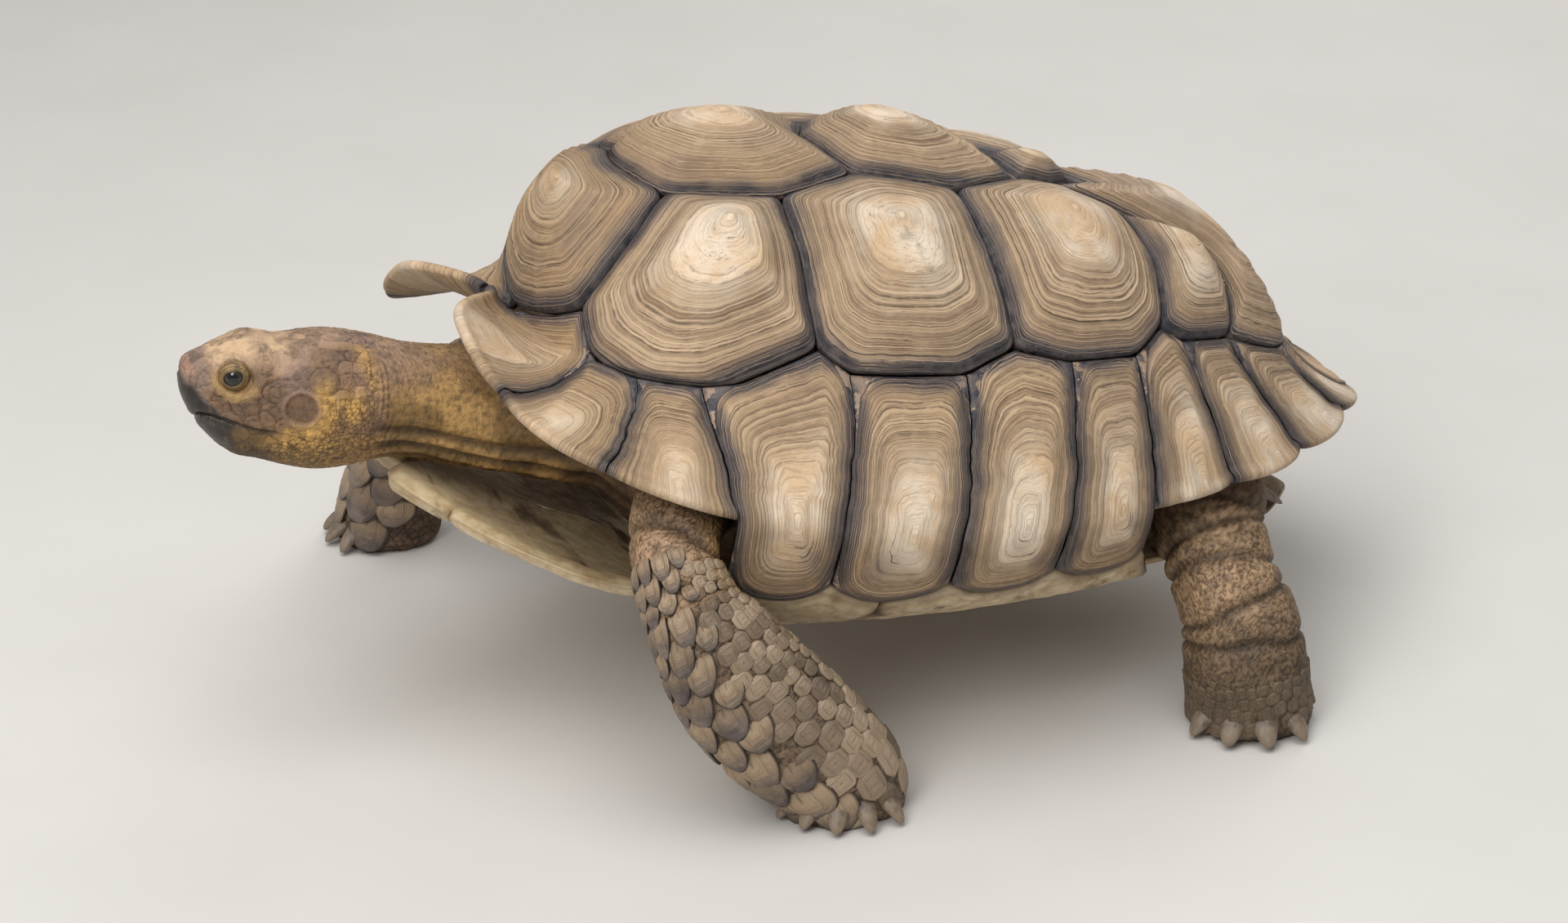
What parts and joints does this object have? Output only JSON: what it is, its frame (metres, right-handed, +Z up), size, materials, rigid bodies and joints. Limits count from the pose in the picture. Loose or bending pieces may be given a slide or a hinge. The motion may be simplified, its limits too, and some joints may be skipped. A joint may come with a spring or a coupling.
{
  "type": "sulcata tortoise",
  "caption": "Life-size still model of a walking sulcata tortoise: domed shell of ringed plates with a flared rim, forked front shield, stretched neck, beaked head and scaly pillar legs.",
  "frame": {"origin": "on the floor, under the middle of the whole tortoise's plan", "axes": "-X towards the head, -Y the animal's left side, +Z up"},
  "size_m": [0.6574, 0.4523, 0.3146],
  "materials": {
    "shell": "dry keratin plates with raised growth rings, tan to cream with dark slate seams",
    "shell_rim": "dry keratin rim plates, ridged, tan and cream with dark front edges",
    "underside": "smooth worn horn, cream and olive brown with darker streaks",
    "skin": "dry wrinkled hide with small scales, olive brown to ochre",
    "claws": "dull horn",
    "beak": "dark satin horn",
    "eye": "wet dark brown"
  },
  "bodies": {
    "root": {"vertebral_1": "shell", "vertebral_2": "shell", "vertebral_3": "shell", "vertebral_4": "shell", "vertebral_5": "shell", "costal_left_1": "shell", "costal_left_2": "shell", "costal_left_3": "shell", "costal_left_4": "shell", "costal_right_1": "shell", "costal_right_2": "shell", "costal_right_3": "shell", "costal_right_4": "shell", "marginal_left_1": "shell_rim", "marginal_left_2": "shell_rim", "marginal_left_3": "shell_rim", "marginal_left_4": "shell_rim", "marginal_left_5": "shell_rim", "marginal_left_6": "shell_rim", "marginal_left_7": "shell_rim", "marginal_left_8": "shell_rim", "marginal_left_9": "shell_rim", "marginal_left_10": "shell_rim", "marginal_left_11": "shell_rim", "marginal_right_1": "shell_rim", "marginal_right_2": "shell_rim", "marginal_right_3": "shell_rim", "marginal_right_4": "shell_rim", "marginal_right_5": "shell_rim", "marginal_right_6": "shell_rim", "marginal_right_7": "shell_rim", "marginal_right_8": "shell_rim", "marginal_right_9": "shell_rim", "marginal_right_10": "shell_rim", "marginal_right_11": "shell_rim", "supracaudal": "shell_rim", "gular": "underside", "humeral_left": "underside", "humeral_right": "underside", "pectoral_left": "underside", "pectoral_right": "underside", "abdominal_left": "underside", "abdominal_right": "underside", "femoral_left": "underside", "femoral_right": "underside", "anal_left": "underside", "anal_right": "underside", "trunk": "skin", "neck": "skin", "head": "skin", "tail": "skin", "front_leg_left": "skin", "front_leg_right": "skin", "hind_leg_left": "skin", "hind_leg_right": "skin", "upper_beak": "beak", "lower_beak": "beak", "eye_left": "eye", "eye_right": "eye"}
  },
  "joints": []
}
